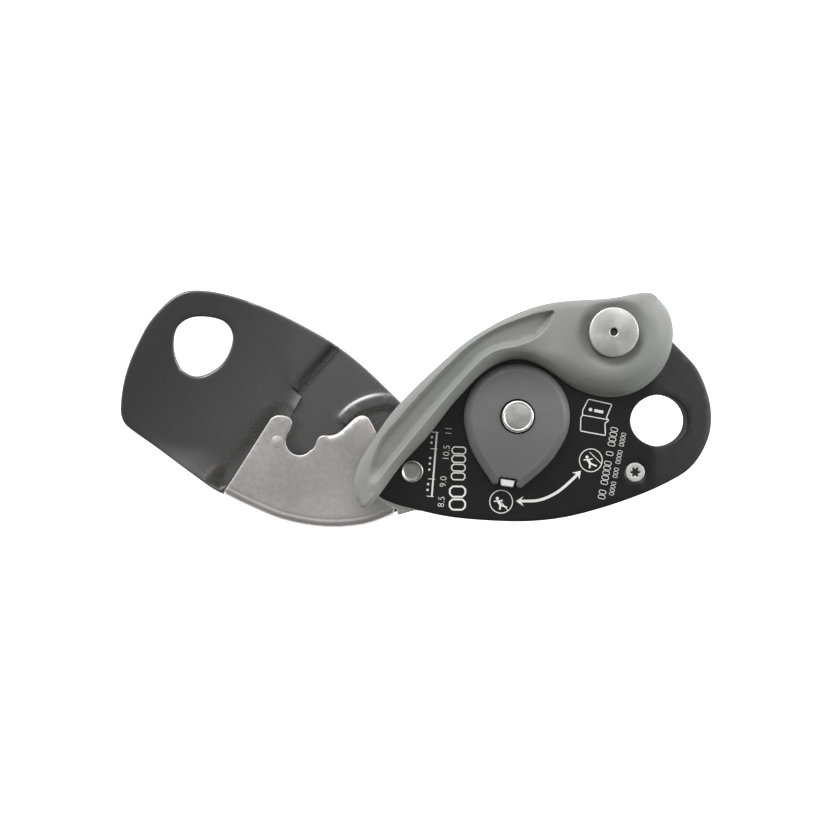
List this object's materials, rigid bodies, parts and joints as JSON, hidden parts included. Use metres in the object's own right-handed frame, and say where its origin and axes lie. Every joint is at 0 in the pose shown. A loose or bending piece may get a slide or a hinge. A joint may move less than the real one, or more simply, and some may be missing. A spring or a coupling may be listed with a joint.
{
  "type": "assisted-braking rope device",
  "caption": "Hinged assisted-braking rope device shown opened: two side plates with clip-in holes, pivoting cam, steel rope channel, release handle and mode knob.",
  "frame": {"origin": "centre of the opened device's footprint at the outer face of the moving side plate, which it rests on", "axes": "+X along the opened device towards the fixed plate's clip-in hole, +Z along the axles towards the handle side"},
  "size_m": [0.1754, 0.0706, 0.0327],
  "materials": {
    "black_anodised": "satin black anodised",
    "grey_anodised": "semi-gloss dark grey anodised",
    "stainless": "satin tumbled",
    "turned_steel": "fine turned",
    "spring_steel": "smooth",
    "cast_steel": "fine cast",
    "bronze": "satin",
    "handle_polymer": "matte grey moulded",
    "knob_polymer": "matte darker grey moulded",
    "tab_polymer": "matte white"
  },
  "bodies": {
    "fixed_side": {"fixed_side_plate": "black_anodised", "fixed_wear_liner": "stainless", "liner_screw": "turned_steel", "liner_screw_nut": "turned_steel", "cam_axle": "turned_steel", "cam_axle_clip": "spring_steel", "pivot_rivet": "turned_steel", "pivot_spacer": "turned_steel", "pivot_spring_washer": "spring_steel", "handle_axle": "turned_steel", "handle_axle_washer": "turned_steel"},
    "cam_body": {"cam": "cast_steel", "cam_bush": "bronze", "cam_return_spring": "spring_steel", "cam_release_pin": "turned_steel"},
    "knob_body": {"mode_knob": "knob_polymer", "detent_ball": "turned_steel", "detent_spring": "spring_steel"},
    "lock_body": {"mode_lock_tab": "tab_polymer"},
    "handle_body": {"handle": "handle_polymer", "handle_bush": "bronze", "handle_return_spring": "spring_steel", "handle_drive_dog": "cast_steel"},
    "moving_side": {"moving_side_plate": "grey_anodised", "steel_wear_plate": "stainless", "moving_plate_bush": "bronze", "wear_plate_rivet_1": "turned_steel", "wear_plate_rivet_2": "turned_steel", "wear_plate_rivet_3": "turned_steel"}
  },
  "joints": [
    {"name": "side_plate_hinge", "type": "hinge", "parent": "fixed_side", "child": "moving_side", "pos_m": [-0.0003, -0.01828, 0.01], "axis": [0, 0, 1], "range_deg": [-137.7, 0]},
    {"name": "cam_pivot", "type": "hinge", "parent": "fixed_side", "child": "cam_body", "pos_m": [0.0299, -0.00238, 0.01], "axis": [0, 0, 1], "range_deg": [-25, 0], "stiffness_Nm_per_rad": 0.06},
    {"name": "handle_pivot", "type": "hinge", "parent": "fixed_side", "child": "handle_body", "pos_m": [0.0568, 0.02152, 0.025], "axis": [0, 0, 1], "range_deg": [-150, 0]},
    {"name": "mode_knob_turn", "type": "hinge", "parent": "fixed_side", "child": "knob_body", "pos_m": [0.0299, -0.00238, 0.025], "axis": [0, 0, 1], "range_deg": [0, 64]},
    {"name": "mode_lock_press", "type": "slide", "parent": "knob_body", "child": "lock_body", "axis": [0, 0, 1], "range_m": [-0.0009, 0], "stiffness_N_per_m": 300}
  ]
}
